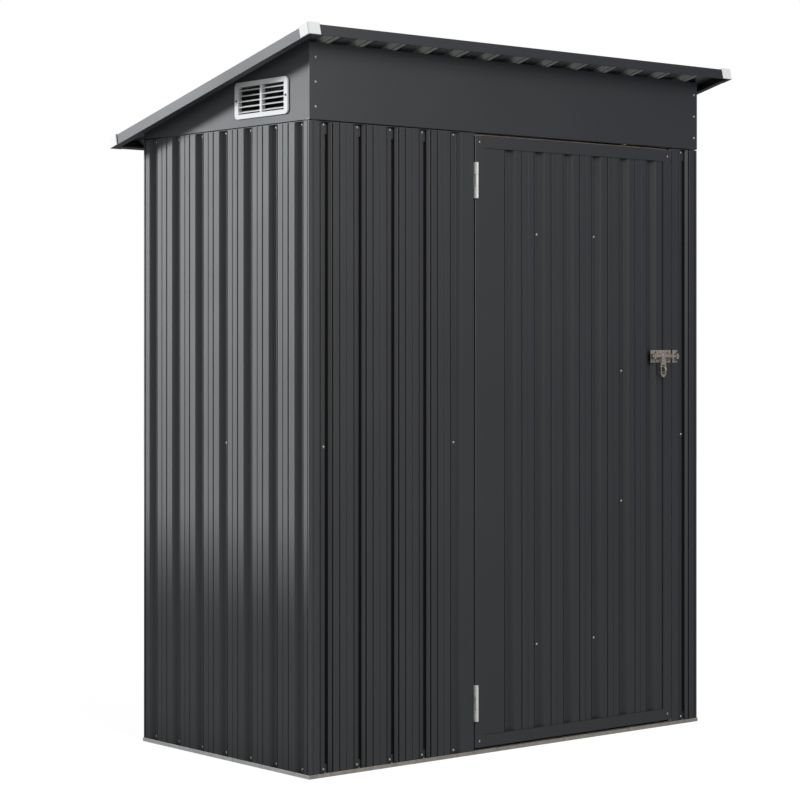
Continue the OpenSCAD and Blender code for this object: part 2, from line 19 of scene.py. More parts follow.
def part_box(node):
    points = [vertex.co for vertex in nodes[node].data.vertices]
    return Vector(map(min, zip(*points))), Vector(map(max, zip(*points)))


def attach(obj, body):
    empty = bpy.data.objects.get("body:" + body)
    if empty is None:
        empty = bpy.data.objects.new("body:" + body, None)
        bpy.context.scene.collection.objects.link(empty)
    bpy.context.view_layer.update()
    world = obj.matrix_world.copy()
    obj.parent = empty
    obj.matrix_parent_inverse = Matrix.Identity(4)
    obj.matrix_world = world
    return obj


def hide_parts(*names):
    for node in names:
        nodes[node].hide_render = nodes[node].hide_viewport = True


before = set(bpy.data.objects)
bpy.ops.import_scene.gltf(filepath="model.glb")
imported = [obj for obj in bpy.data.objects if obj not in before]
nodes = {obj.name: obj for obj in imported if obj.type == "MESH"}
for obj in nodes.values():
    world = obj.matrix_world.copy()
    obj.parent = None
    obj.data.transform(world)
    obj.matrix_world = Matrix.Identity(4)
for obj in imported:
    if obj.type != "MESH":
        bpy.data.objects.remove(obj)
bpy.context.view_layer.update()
MM = 0.001

# %% [markdown]
# ## The camera
#
# A product picture of a building is taken with a long lens, level with the middle of the
# wall, so that upright edges stay upright. A level camera would put the shed too low in the
# frame, and tilting it would make the walls lean, so the lens is shifted instead.

# %% Camera
eye = bpy.data.cameras.new("eye")
eye.lens = 104.6
eye.shift_y = -0.0675
camera = bpy.data.objects.new("eye", eye)
camera.location = (-4.1922, -4.8892, 1.066)
camera.rotation_euler = (math.radians(90), 0, math.radians(-39.938))
bpy.context.scene.collection.objects.link(camera)
bpy.context.scene.camera = camera
bpy.context.scene.view_settings.view_transform = "Standard"
print("camera", [round(c, 3) for c in camera.location])

# %% [markdown]
# ## Floor and surroundings
#
# A white background can be made by pouring light on a floor, but that light would bounce
# back and wash out the shed. So only the rays that reach the eye, or that a shiny surface
# mirrors, see pure white. All other rays see a calmer grey, which is the fill light.


# %% Seen-white helper
def maths(tree, operation, *values):
    """One sum in a node tree; each value is a number or another node's output."""
    node = tree.nodes.new("ShaderNodeMath")
    node.operation = operation
    for socket, value in zip(node.inputs, values):
        if isinstance(value, float):
            socket.default_value = value
        else:
            tree.links.new(value, socket)
    return node.outputs[0]


def seen(tree):
    """A value that is 1 for rays from the eye, from a mirror or through glass."""
    path = tree.nodes.new("ShaderNodeLightPath")
    eye_or_mirror = maths(tree, "MAXIMUM", path.outputs["Is Camera Ray"],
                          path.outputs["Is Glossy Ray"])
    return maths(tree, "MAXIMUM", eye_or_mirror, path.outputs["Is Transmission Ray"])


# %% [markdown]
# Around the floor the world is white where it is seen and calm grey for everything else, so
# the background is even, and the fill light can be set without touching it.

# %% Surroundings
AMBIENT = 0.44
world = bpy.data.worlds.new("studio")
world.use_nodes = True
bpy.context.scene.world = world
sky = world.node_tree
sky.nodes.clear()
white = sky.nodes.new("ShaderNodeBackground")
white.inputs["Color"].default_value = (1, 1, 1, 1)
white.inputs["Strength"].default_value = 1.0
fill = sky.nodes.new("ShaderNodeBackground")
fill.inputs["Color"].default_value = (0.97, 0.985, 1, 1)
fill.inputs["Strength"].default_value = AMBIENT
either = sky.nodes.new("ShaderNodeMixShader")
sky.links.new(seen(sky), either.inputs["Fac"])
sky.links.new(fill.outputs[0], either.inputs[1])
sky.links.new(white.outputs[0], either.inputs[2])
sky_out = sky.nodes.new("ShaderNodeOutputWorld")
sky.links.new(either.outputs[0], sky_out.inputs["Surface"])
print("fill light", AMBIENT)

# %% [markdown]
# The floor is grey to the lamps and is lifted to white only where it is seen. The lift
# leaves out the shed's own footprint: a glowing floor inside would show as a white strip
# under the door.

# %% Floor
FLOOR_GREY = 0.3
SEEN_GREY = 0.2
SEEN_LIFT = 0.92
HALF_FOOTPRINT = (("X", 0.69), ("Y", 0.36))
floor_mesh = bpy.data.meshes.new("floor")
half_floor = 12
floor_mesh.from_pydata(
    [(-half_floor, -half_floor, 0), (half_floor, -half_floor, 0),
     (half_floor, half_floor, 0), (-half_floor, half_floor, 0)], [], [(0, 1, 2, 3)])
floor = bpy.data.objects.new("floor", floor_mesh)
bpy.context.scene.collection.objects.link(floor)

pale = bpy.data.materials.new("pale_floor")
pale.use_nodes = True
tree = pale.node_tree
tree.nodes.clear()
matt = tree.nodes.new("ShaderNodeBsdfDiffuse")
matt.inputs["Color"].default_value = (FLOOR_GREY, FLOOR_GREY, FLOOR_GREY, 1)
thin = tree.nodes.new("ShaderNodeBsdfDiffuse")
thin.inputs["Color"].default_value = (SEEN_GREY, SEEN_GREY, SEEN_GREY, 1)
lift = tree.nodes.new("ShaderNodeEmission")
lift.inputs["Strength"].default_value = SEEN_LIFT
lifted = tree.nodes.new("ShaderNodeAddShader")
tree.links.new(thin.outputs[0], lifted.inputs[0])
tree.links.new(lift.outputs[0], lifted.inputs[1])
spot = tree.nodes.new("ShaderNodeTexCoord")
split = tree.nodes.new("ShaderNodeSeparateXYZ")
tree.links.new(spot.outputs["Object"], split.inputs[0])
beyond = []
for axis, half in HALF_FOOTPRINT:
    distance = maths(tree, "ABSOLUTE", split.outputs[axis])
    beyond.append(maths(tree, "GREATER_THAN", distance, half))
outside_shed = maths(tree, "MAXIMUM", *beyond)
shown = maths(tree, "MULTIPLY", seen(tree), outside_shed)
either = tree.nodes.new("ShaderNodeMixShader")
tree.links.new(shown, either.inputs["Fac"])
tree.links.new(matt.outputs[0], either.inputs[1])
tree.links.new(lifted.outputs[0], either.inputs[2])
out = tree.nodes.new("ShaderNodeOutputMaterial")
tree.links.new(either.outputs[0], out.inputs["Surface"])
floor_mesh.materials.append(pale)
print("floor", 2 * half_floor, "m wide")

# %% [markdown]
# ## Lamps
#
# The key lamp is a square softbox at the back left. It skims along the side wall, so the
# roof's edge throws a soft shadow on the gable, and its shine in the half-gloss paint makes
# the side lighter than the front. A second softbox stands in front of the shed, thirty
# degrees up, and lights the front evenly.


# %% Softboxes
def softbox(name, azimuth, elevation, distance, size, energy, aim=(0, 0, 0.9),
            tint=(1, 1, 1)):
    """A square lamp that looks at aim; azimuth 0 is the front (-Y), 90 is the left (-X)."""
    lamp = bpy.data.lights.new(name, "AREA")
    lamp.shape = "RECTANGLE"
    lamp.size, lamp.size_y = size
    lamp.energy = energy
    lamp.color = tint
    obj = bpy.data.objects.new(name, lamp)
    a = math.radians(azimuth)
    e = math.radians(elevation)
    away = Vector((-math.sin(a) * math.cos(e), -math.cos(a) * math.cos(e), math.sin(e)))
    obj.location = Vector(aim) + away * distance
    obj.rotation_euler = away.to_track_quat("Z", "Y").to_euler()
    bpy.context.scene.collection.objects.link(obj)
    return obj


LEFT_SIDE = Vector((-0.695, 0, 1.2))
key = softbox("key", 147, 15, 18.0, (3.2, 3.2), 3620, LEFT_SIDE, (0.94, 0.97, 1.0))
softbox("front_fill", 8, 30, 6.0, (2.6, 2.6), 165)
print("key lamp at", [round(c, 2) for c in key.location])

# %% [markdown]
# Boards shape that light. A flag stands in the key lamp's way, so the foot of the side wall
# stays dark. The others are grey boards and a cloth on the floor, as in a studio with dark
# walls: half-gloss paint and zinc mirror them. The one at the right is darker than the one
# in front, so the front wall falls off to the right. A paler cloth lies beside the left
# wall, whose shine would otherwise mirror a dark floor. The boards themselves never show.


# %% Boards
def board(name, corners, tone, shades, mirrored):
    """A flat board that only throws a shadow, or only shows in a shiny surface."""
    mesh = bpy.data.meshes.new(name)
    mesh.from_pydata(corners, [], [(0, 1, 2, 3)])
    obj = bpy.data.objects.new(name, mesh)
    bpy.context.scene.collection.objects.link(obj)
    cloth = bpy.data.materials.new(name)
    cloth.use_nodes = True
    t = cloth.node_tree
    t.nodes.clear()
    glow = t.nodes.new("ShaderNodeEmission")
    glow.inputs["Color"].default_value = (*tone, 1)
    surface = t.nodes.new("ShaderNodeOutputMaterial")
    t.links.new(glow.outputs[0], surface.inputs["Surface"])
    mesh.materials.append(cloth)
    obj.visible_camera = False
    obj.visible_diffuse = False
    obj.visible_transmission = False
    obj.visible_glossy = mirrored
    obj.visible_shadow = shades
    return obj


toward_key = (key.location - LEFT_SIDE).normalized()
sideways = Vector((toward_key.y, -toward_key.x, 0)).normalized()
FLAG_X = LEFT_SIDE.x - 0.7
FLAG_TOP = 0.9
FLAG_ENDS = (-0.8, 3.4)
board("flag", [(FLAG_X, FLAG_ENDS[0], 0), (FLAG_X, FLAG_ENDS[1], 0),
               (FLAG_X, FLAG_ENDS[1], FLAG_TOP), (FLAG_X, FLAG_ENDS[0], FLAG_TOP)],
      (0, 0, 0), True, False)
board("right_board", [(1.0, -3.1, 0), (3.7, -0.5, 0), (3.7, -0.5, 4.5), (1.0, -3.1, 4.5)],
      (0.24, 0.25, 0.29), False, True)
board("front_board", [(-12, -2, 0), (2, -12, 0), (2, -12, 8), (-12, -2, 8)],
      (0.49, 0.49, 0.48), False, True)
far_left = LEFT_SIDE + Vector((toward_key.x, toward_key.y, 0)).normalized() * 19.5
wide = sideways * 14
behind = Vector((far_left.x, far_left.y, 0))
up_ten = Vector((0, 0, 10))
board("back_board", [behind - wide, behind + wide, behind + wide + up_ten,
                     behind - wide + up_ten], (0.2, 0.22, 0.24), False, True)
low = 0.0004
board("floor_cloth", [(-8, -8, low), (8, -8, low), (8, 8, low), (-8, 8, low)],
      (0.3, 0.31, 0.33), False, True)
board("side_cloth", [(-8, -1, 2 * low), (-0.8, -1, 2 * low), (-0.8, 8, 2 * low),
                     (-8, 8, 2 * low)], (0.6, 0.63, 0.7), False, True)
print("flag", FLAG_TOP, "m high")

# %% [markdown]
# ## Finishes
#
# Everything is coloured by nodes that read the piece's own coordinates, in metres, so a
# pattern has its true size and stays on the piece when the door turns. A finish is a base
# tone, a slow drift of tone over a hand's width, and a fine grain that only shows in the
# shine.


# %% Finish helper
def finish(name, tone, roughness, metallic=0.0, specular=0.5, drift=0.06, drift_size=0.35,
           grain_size=0.002, grain=0.02, rough_drift=0.05, stretch=(1, 1, 1)):
    """A principled finish with slow drift in tone and shine, and a fine bumpy grain."""
    mat = bpy.data.materials.new(name)
    mat.use_nodes = True
    t = mat.node_tree
    t.nodes.clear()
    out = t.nodes.new("ShaderNodeOutputMaterial")
    shader = t.nodes.new("ShaderNodeBsdfPrincipled")
    shader.inputs["Metallic"].default_value = metallic
    shader.inputs["Specular IOR Level"].default_value = specular
    t.links.new(shader.outputs[0], out.inputs["Surface"])
    place = t.nodes.new("ShaderNodeTexCoord")
    pull = t.nodes.new("ShaderNodeMapping")
    pull.inputs["Scale"].default_value = stretch
    t.links.new(place.outputs["Object"], pull.inputs["Vector"])

    slow = t.nodes.new("ShaderNodeTexNoise")
    slow.inputs["Scale"].default_value = 1 / drift_size
    slow.inputs["Detail"].default_value = 3
    t.links.new(pull.outputs[0], slow.inputs["Vector"])
    ramp = t.nodes.new("ShaderNodeValToRGB")
    ramp.color_ramp.elements[0].position = 0.3
    ramp.color_ramp.elements[1].position = 0.7
    ramp.color_ramp.elements[0].color = [c * (1 - drift) for c in tone] + [1]
    ramp.color_ramp.elements[1].color = [c * (1 + drift) for c in tone] + [1]
    t.links.new(slow.outputs["Fac"], ramp.inputs["Fac"])
    t.links.new(ramp.outputs["Color"], shader.inputs["Base Color"])

    shine = t.nodes.new("ShaderNodeMapRange")
    shine.inputs["To Min"].default_value = roughness - rough_drift
    shine.inputs["To Max"].default_value = roughness + rough_drift
    t.links.new(slow.outputs["Fac"], shine.inputs["Value"])
    t.links.new(shine.outputs["Result"], shader.inputs["Roughness"])

    fine = t.nodes.new("ShaderNodeTexNoise")
    fine.inputs["Scale"].default_value = 1 / grain_size
    fine.inputs["Detail"].default_value = 2
    t.links.new(pull.outputs[0], fine.inputs["Vector"])
    bump = t.nodes.new("ShaderNodeBump")
    bump.inputs["Strength"].default_value = grain
    bump.inputs["Distance"].default_value = grain_size
    t.links.new(fine.outputs["Fac"], bump.inputs["Height"])
    t.links.new(bump.outputs["Normal"], shader.inputs["Normal"])
    return mat


# %% [markdown]
# ### Paint, backing coat and plastic
#
# The outside is a baked dark grey paint with a half gloss. The back of such sheets has a
# thin lighter coat. The paint's colour stays dark on purpose: what makes the side wall look
# light is the lamp's reflection, and painting that light in would be wrong from behind.
#
# The front has a glossier paint than the other walls and the trims. The roof's front trim is
# glossier still and darker: the darker tone is painted shade. Under the roof the coat is
# darker than on the crests of the ribs: painted shade between the crests and painted light
# on them. These tones were tuned to this scene's lamps, not to other light.

# %% Paint, backing coat and plastic
PAINT = (0.0115, 0.0122, 0.0132)
wall_paint = finish("wall_paint", PAINT, 0.66, specular=1.0, drift=0.05)
front_paint = finish("front_paint", PAINT, 0.46, specular=1.0, drift=0.05)
trim_paint = finish("trim_paint", PAINT, 0.64, specular=1.0, drift=0.04)
back_coat = finish("back_coat", (0.30, 0.31, 0.29), 0.55, specular=0.3)
# Under the roof: a dark coat that is painted shade, and a pale one on the crests that is
# painted light.
shaded_under_coat = finish("shaded_under_coat", (0.18, 0.185, 0.175), 0.5, specular=0.3)
lit_crest_coat = finish("lit_crest_coat", (0.52, 0.54, 0.5), 0.5, specular=0.3)
# The front trim's paint is darker than the other trims': painted shade.
shaded_rim_paint = finish("shaded_rim_paint", (0.008, 0.0085, 0.0115), 0.42, specular=0.85, drift=0.05)
vent_white = finish("vent_white", (0.8, 0.8, 0.8), 0.6, specular=0.25, drift=0.015,
                    grain_size=0.0012, grain=0.03)
cap_white = finish("cap_white", (0.82, 0.82, 0.82), 0.6, specular=0.25, drift=0.015,
                   grain_size=0.001, grain=0.02)

# %% [markdown]
# ### Galvanised steel
#
# Zinc freezes on steel in flat crystals, the spangle, each a few millimetres across and each
# turned its own way. A cell texture gives every crystal its own brightness and shine.
#
# Bare metal mirrors what stands round it, and round the side and back rails and the header
# that is dark. So those have a pale zinc that isn't metallic, and the hinges one that is a
# quarter metal: painted light, a pale tone in place of the bright shine of their zinc. The
# front rail, the latch and the frame inside are about half metal.


# %% Galvanised steel
def zinc(name, tone, roughness, cell, contrast, streak=(1, 1, 1), metallic=0.55):
    """Dulled zinc coat whose crystals differ in brightness and shine."""
    mat = finish(name, tone, roughness, metallic=metallic, drift=0.05, drift_size=0.15,
                 grain_size=0.0008, grain=0.04)
    t = mat.node_tree
    shader = next(n for n in t.nodes if n.type == "BSDF_PRINCIPLED")
    place = t.nodes.new("ShaderNodeTexCoord")
    pull = t.nodes.new("ShaderNodeMapping")
    pull.inputs["Scale"].default_value = streak
    t.links.new(place.outputs["Object"], pull.inputs["Vector"])
    cells = t.nodes.new("ShaderNodeTexVoronoi")
    cells.inputs["Scale"].default_value = 1 / cell
    t.links.new(pull.outputs[0], cells.inputs["Vector"])
    value = t.nodes.new("ShaderNodeSeparateColor")
    t.links.new(cells.outputs["Color"], value.inputs["Color"])
    light = t.nodes.new("ShaderNodeMapRange")
    light.inputs["To Min"].default_value = 1 - contrast
    light.inputs["To Max"].default_value = 1 + contrast * 0.4
    t.links.new(value.outputs[0], light.inputs["Value"])
    ramp = next(n for n in t.nodes if n.type == "VALTORGB")
    tint = t.nodes.new("ShaderNodeVectorMath")
    tint.operation = "SCALE"
    t.links.new(ramp.outputs["Color"], tint.inputs[0])
    t.links.new(light.outputs["Result"], tint.inputs["Scale"])
    t.links.new(tint.outputs[0], shader.inputs["Base Color"])
    shine = t.nodes.new("ShaderNodeMapRange")
    shine.inputs["To Min"].default_value = roughness - 0.08
    shine.inputs["To Max"].default_value = roughness + 0.1
    t.links.new(value.outputs[1], shine.inputs["Value"])
    t.links.new(shine.outputs["Result"], shader.inputs["Roughness"])
    return mat


galvanised = zinc("galvanised", (0.44, 0.4, 0.35), 0.42, 0.009, 0.16)
plated = zinc("plated", (0.47, 0.42, 0.36), 0.3, 0.006, 0.06, metallic=0.6)
# Pale zinc for the side and back rails, the header and the hinges: painted light, in place of
# their shine.
lit_side_zinc = zinc("lit_side_zinc", (0.93, 0.93, 0.92), 0.42, 0.009, 0.12, metallic=0.0)
lit_header_zinc = zinc("lit_header_zinc", (0.92, 0.79, 0.66), 0.4, 0.006, 0.05, metallic=0.0)
lit_hinge_steel = zinc("lit_hinge_steel", (0.88, 0.87, 0.84), 0.4, 0.006, 0.02, metallic=0.25)
print("finishes", len(bpy.data.materials))

# %% [markdown]
# ## Folding steel
#
# Rails, trims and ribbed sheets are all made the same way: a flat strip is bent along
# straight lines. In code that is an open outline whose corners become small arcs, given a
# thickness and drawn out to length. Bevelling a sharp solid would also work, but the outline
# keeps every bend's radius true and costs few faces.


# %% Outline helpers
def rounded(points, radius, steps=4):
    """The open outline through points, with each inner corner turned into an arc."""
    line = [Vector(points[0])]
    for a, b, c in zip(points, points[1:], points[2:]):
        a, b, c = Vector(a), Vector(b), Vector(c)
        back = a - b
        ahead = c - b
        half = back.angle(ahead) / 2
        reach = min(radius / math.tan(half), 0.48 * min(back.length, ahead.length))
        centre = b + (back.normalized() + ahead.normalized()).normalized() * (
            reach / math.cos(half))
        first = b + back.normalized() * reach - centre
        last = b + ahead.normalized() * reach - centre
        turn = math.atan2(first.x * last.y - first.y * last.x, first.dot(last))
        for k in range(steps + 1):
            line.append(centre + Matrix.Rotation(turn * k / steps, 2) @ first)
    line.append(Vector(points[-1]))
    return line


def beside(line, gap):
    """The outline that runs at a distance beside another, to its left."""
    out = []
    for n, p in enumerate(line):
        before = (p - line[n - 1]).normalized() if n else None
        after = (line[n + 1] - p).normalized() if n < len(line) - 1 else None
        along = ((before or after) + (after or before)).normalized()
        lean = along.dot(after or before)
        out.append(p + Vector((-along.y, along.x)) * gap / max(lean, 0.5))
    return out


def smooth(obj, angle=35):
    """Smooth shading that keeps cut edges crisp and flat faces flat."""
    obj.data.polygons.foreach_set("use_smooth", [True] * len(obj.data.polygons))
    obj.data.set_sharp_from_angle(angle=math.radians(angle))
    level = obj.modifiers.new("level", "WEIGHTED_NORMAL")
    level.keep_sharp = True
    return obj


def piece(name, mesh, body, slot, *materials):
    """Puts a mesh in the scene as a piece of the shed."""
    obj = bpy.data.objects.new(name, mesh)
    bpy.context.scene.collection.objects.link(obj)
    for m in materials:
        mesh.materials.append(m)
    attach(obj, body)
    return obj


# %% [markdown]
# The outline helpers give the strip's two faces. The next one joins them into a closed strip
# of sheet steel, with ends that are cut square or mitred, and puts it on its body. A solid
# with a Solidify modifier would also work, but here both faces end on the mitre's plane.


# %% Fold helper
def folded(name, points, radius, thick, basis, length, body="shed", slot="wall_paint",
           outside=None, inside=None, mitre=0, steps=4):
    """A strip bent along the outline and drawn out along the basis' third axis.

    basis is (origin, across, inward, along). mitre 1 cuts both ends at 45 degrees."""
    origin, across, inward, along = [Vector(v) for v in basis]
    line = rounded(points, radius, steps)
    other = beside(line, thick)
    mesh = bpy.data.meshes.new(name)
    bm = bmesh.new()

    def span(p):
        return (mitre * p.x, length - mitre * p.x)

    def corner(p, end):
        at = origin + across * p.x + inward * p.y + along * span(p)[end]
        return bm.verts.new(at)

    rows = [[corner(p, e) for p in side for e in (0, 1)] for side in (line, other)]
    out_row, in_row = rows
    n = len(line)
    for k in range(n - 1):
        a, b, c, d = 2 * k, 2 * k + 1, 2 * k + 3, 2 * k + 2
        bm.faces.new([out_row[i] for i in (a, b, c, d)])
        back = bm.faces.new([in_row[i] for i in (a, d, c, b)])
        back.material_index = 1 if inside else 0
        bm.faces.new([out_row[a], out_row[d], in_row[d], in_row[a]])
        bm.faces.new([out_row[b], in_row[b], in_row[c], out_row[c]])
    last = 2 * n - 2
    bm.faces.new([out_row[0], in_row[0], in_row[1], out_row[1]])
    bm.faces.new([out_row[last], out_row[last + 1], in_row[last + 1], in_row[last]])
    bmesh.ops.recalc_face_normals(bm, faces=bm.faces)
    bm.to_mesh(mesh)
    bm.free()
    outside = outside or wall_paint
    obj = piece(name, mesh, body, slot, outside, *([inside] if inside else []))
    return smooth(obj)


# %% [markdown]
# ## Ribbed sheets
#
# Each wall is one sheet, pressed with deep grooves 107 mm apart. In the middle of the flat
# between two grooves run two fine pressed lines, which keep it from drumming, and a narrow
# slit runs along each groove's left edge. On the front most grooves also hold a lap, where
# one sheet's edge lies over the next: a deeper slit that reads as a black line. The roof's
# grooves are plain, with only a low notch in their floor. One function draws every outline
# from the places of the grooves, so the walls, the door and the roof all match.

# %% The press
PITCH = 107 * MM
MOUTH = 33 * MM
FLOOR = 15 * MM
DEPTH = 12 * MM
BEAD_W = 25 * MM
STEEL = 1.2 * MM
BEND = 2.2 * MM
SHARP_BEND = 1 * MM
SLIT_W = 4 * MM
SLIT_D = 5 * MM
SLIT_LEAN = 0.8 * MM
LEFT_LINE = (3.2 * MM, 3.4 * MM)
RIGHT_LINE = (2.4 * MM, 1.8 * MM)
NOTCH_RISE = 3 * MM
NOTCH_LEAN = 0.4 * MM
NOTCH_FLAT = 2.4 * MM
NOTCH_END = 3.2 * MM
PLAIN_WIDER = 2 * MM
LAP_D = 7 * MM
LAP_FROM = 4.5 * MM
LAP_TO = 10 * MM
LAP_LEANS = (0.5 * MM, 0.4 * MM)
LAP_SLIT = (17.5 * MM, 4.6 * MM)
print("grooves every", PITCH, "m,", DEPTH, "m deep")

# %% [markdown]
# The outline is a list of corners, built from left to right. Each pressed shape is a small
# function of its place, so a sheet is only the list of its grooves with beads in between.


# %% Outlines of the press
def slit(x, width=SLIT_W, depth=SLIT_D):
    """A narrow pressed line that starts at x."""
    return [(x, 0), (x + SLIT_LEAN, depth), (x + width - SLIT_LEAN, depth), (x + width, 0)]


def bead(m):
    """Two fine lines in the middle of a flat; the left one is pressed the deepest."""
    first = slit(m - BEAD_W / 2, *LEFT_LINE)
    return first + slit(m + BEAD_W / 2 - RIGHT_LINE[0], *RIGHT_LINE)


def groove(c, lap=False, plain=False):
    """A deep groove about c, or one whose right side is a second sheet that laps over it."""
    foot_a = c - FLOOR / 2
    if plain:
        notch = DEPTH - NOTCH_RISE
        return [(c - MOUTH / 2, 0), (foot_a - NOTCH_LEAN, DEPTH), (foot_a + NOTCH_LEAN, notch),
                (foot_a + NOTCH_FLAT, notch), (foot_a + NOTCH_END, DEPTH),
                (c + FLOOR / 2 + PLAIN_WIDER, DEPTH), (c + MOUTH / 2, 0)]
    start = slit(c - MOUTH / 2 - SLIT_W)
    start.append((foot_a, DEPTH))
    if not lap:
        return start + [(c + FLOOR / 2, DEPTH), (c + MOUTH / 2, 0)]
    a, b = c + LAP_FROM, c + LAP_TO
    return start + [(a - LAP_LEANS[0], DEPTH), (a, DEPTH + LAP_D), (b, DEPTH + LAP_D),
                    (b + LAP_LEANS[1], LAP_D), *slit(c + LAP_SLIT[0], LAP_SLIT[1])]


def ribs(a, b, centres, laps=(), plain=False):
    """Outline of a pressed sheet from a to b; depth grows along the second axis."""
    line = [(a, 0)]
    for k, c in enumerate(centres):
        if k:
            line += bead((centres[k - 1] + c) / 2)
        line += groove(c, c in laps, plain)
    return line + [(b, 0)]


def spread(middle, count):
    """Places of a row of grooves about its middle."""
    return [middle + (k - (count - 1) / 2) * PITCH for k in range(count)]


def between(places, a, b):
    """The grooves that fit whole on a sheet from a to b."""
    edge = MOUTH / 2 + 12 * MM
    return [c for c in places if a + edge < c < b - edge]


# %% [markdown]
# The sheets stop short of the front corners, where a folded trim closes the gap. That is
# why the corner of such a shed shows a fine dark line, a bright edge and a second line.

# %% Wall sheets
wall_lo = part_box("left_wall")[0]
wall_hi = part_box("right_wall")[1]
left, right = wall_lo.x, wall_hi.x
front, back = wall_lo.y, wall_hi.y
foot, head = wall_lo.z, wall_hi.z
front_places = spread((left + right) / 2, 13)
side_places = spread((front + back) / 2, 7)
SIDE_GAP = 9 * MM
FRONT_GAP = 12 * MM


def wall(name, basis, a, b, places, laps=()):
    """One wall's sheet from a to b; with laps it has the front's paint and sharper bends."""
    line = ribs(a, b, between(places, a, b), laps)
    sheet = folded(name + "_skin", line, SHARP_BEND if laps else BEND, STEEL, basis,
                   head - foot, outside=front_paint if laps else wall_paint, inside=back_coat)
    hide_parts(name)
    return sheet


doorway = (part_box("front_wall_left")[1].x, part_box("front_wall_right")[0].x)
facing_front = ((0, front, foot), (1, 0, 0), (0, 1, 0), (0, 0, 1))
facing_back = ((0, back, foot), (1, 0, 0), (0, -1, 0), (0, 0, 1))
facing_left = ((left, 0, foot), (0, 1, 0), (1, 0, 0), (0, 0, 1))
facing_right = ((right, 0, foot), (0, 1, 0), (-1, 0, 0), (0, 0, 1))
lapped = [c for c in front_places if not doorway[0] - 90 * MM < c < doorway[0]]
skins = [
    wall("front_wall_left", facing_front, left + FRONT_GAP, doorway[0], front_places, lapped),
    wall("front_wall_right", facing_front, doorway[1], right - FRONT_GAP, front_places,
         lapped),
    wall("left_wall", facing_left, front + SIDE_GAP, back - SIDE_GAP, side_places),
    wall("right_wall", facing_right, front + SIDE_GAP, back - SIDE_GAP, side_places),
    wall("back_wall", facing_back, left + FRONT_GAP, right - FRONT_GAP, front_places),
]
print("wall sheets", len(skins), "faces", sum(len(s.data.polygons) for s in skins))

# %% [markdown]
# The corner trims are drawn a little short of the sheets on either side, so that the two
# joints stay open and dark.

# %% Corner trims
TRIM_BEND = 3 * MM


def corner_trim(name, x, y, sx, sy):
    """A folded strip round an upright corner; sx and sy point into the shed."""
    basis = ((x, y, foot), (sx, 0, 0), (0, sy, 0), (0, 0, 1))
    side = SIDE_GAP - 3.4 * MM
    return folded(name, [(FRONT_GAP - 2.2 * MM, 0), (0, 0), (0, side)], TRIM_BEND, 1 * MM,
                  basis, head - foot, outside=trim_paint, steps=6)


trims = [corner_trim("corner_trim_front_left", left, front, 1, 1),
         corner_trim("corner_trim_front_right", right, front, -1, 1),
         corner_trim("corner_trim_back_left", left, back, 1, -1),
         corner_trim("corner_trim_back_right", right, back, -1, -1)]
print("corner trims", len(trims))

# %% [markdown]
# A flat strap runs behind the grooves half way up each wall and ties them together. At the
# front it lies a little deeper, behind the laps.

# %% Straps
strap_lo, strap_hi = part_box("wall_straps")
STRAP_H = strap_hi.z - strap_lo.z
BEHIND = DEPTH + STEEL + 0.1 * MM
BEHIND_LAP = BEHIND + LAP_D + STEEL


def strap(name, basis_of, a, b, depth):
    """A flat strap from a to b, at a depth behind the wall's face."""
    origin, across, inward, up = [Vector(v) for v in basis_of]
    start = Vector((origin.x, origin.y, strap_lo.z)) + across * a + inward * depth
    return folded(name, [(0, 0), (0.5 * STRAP_H, 0), (STRAP_H, 0)], 1 * MM, STEEL,
                  (start, up, inward, across), b - a, slot="galvanised_rail",
                  outside=galvanised)


side_in = 18 * MM
straps = [
    strap("strap_front_left", facing_front, left + 10 * MM, doorway[0] - 3 * MM, BEHIND_LAP),
    strap("strap_front_right", facing_front, doorway[1] + 3 * MM, right - 10 * MM, BEHIND_LAP),
    strap("strap_left", facing_left, front + side_in, back - side_in, BEHIND),
    strap("strap_right", facing_right, front + side_in, back - side_in, BEHIND),
    strap("strap_back", facing_back, left + 10 * MM, right - 10 * MM, BEHIND),
]
for s in straps:
    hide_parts("wall_straps")
print("straps", len(straps))

# %% [markdown]
# ## The door
#
# The door is a frame of folded angles round a ribbed sheet. Its grooves don't line up with
# the wall's: the sheet was pressed for the door, so its first groove has its own place.

# %% Door sheet and frame
stile_lo, stile_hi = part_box("door_stile_hinge")
latch_lo, latch_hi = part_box("door_stile_latch")
rail_lo, rail_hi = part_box("door_rail_top")
sheet_lo, sheet_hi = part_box("door_sheet")
FIRST_GROOVE = 125 * MM
door_places = [stile_lo.x + FIRST_GROOVE + k * PITCH for k in range(6)]
door_basis = ((0, sheet_lo.y, sheet_lo.z), (1, 0, 0), (0, 1, 0), (0, 0, 1))
door_skin = folded("door_skin", ribs(sheet_lo.x, sheet_hi.x, door_places), SHARP_BEND, STEEL,
                   door_basis, sheet_hi.z - sheet_lo.z, body="door", outside=front_paint,
                   inside=back_coat)
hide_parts("door_sheet")

frame_w = stile_hi.x - stile_lo.x
frame_d = stile_hi.y - stile_lo.y
door_h = stile_hi.z - stile_lo.z


def angle_bar(name, basis, length):
    """A folded angle of the door's frame: face, bend, return leg."""
    bar = folded(name + "_bar", [(frame_w, 0), (0, 0), (0, frame_d)], 1.6 * MM, STEEL,
                 basis, length, body="door", outside=front_paint)
    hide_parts(name)
    return bar


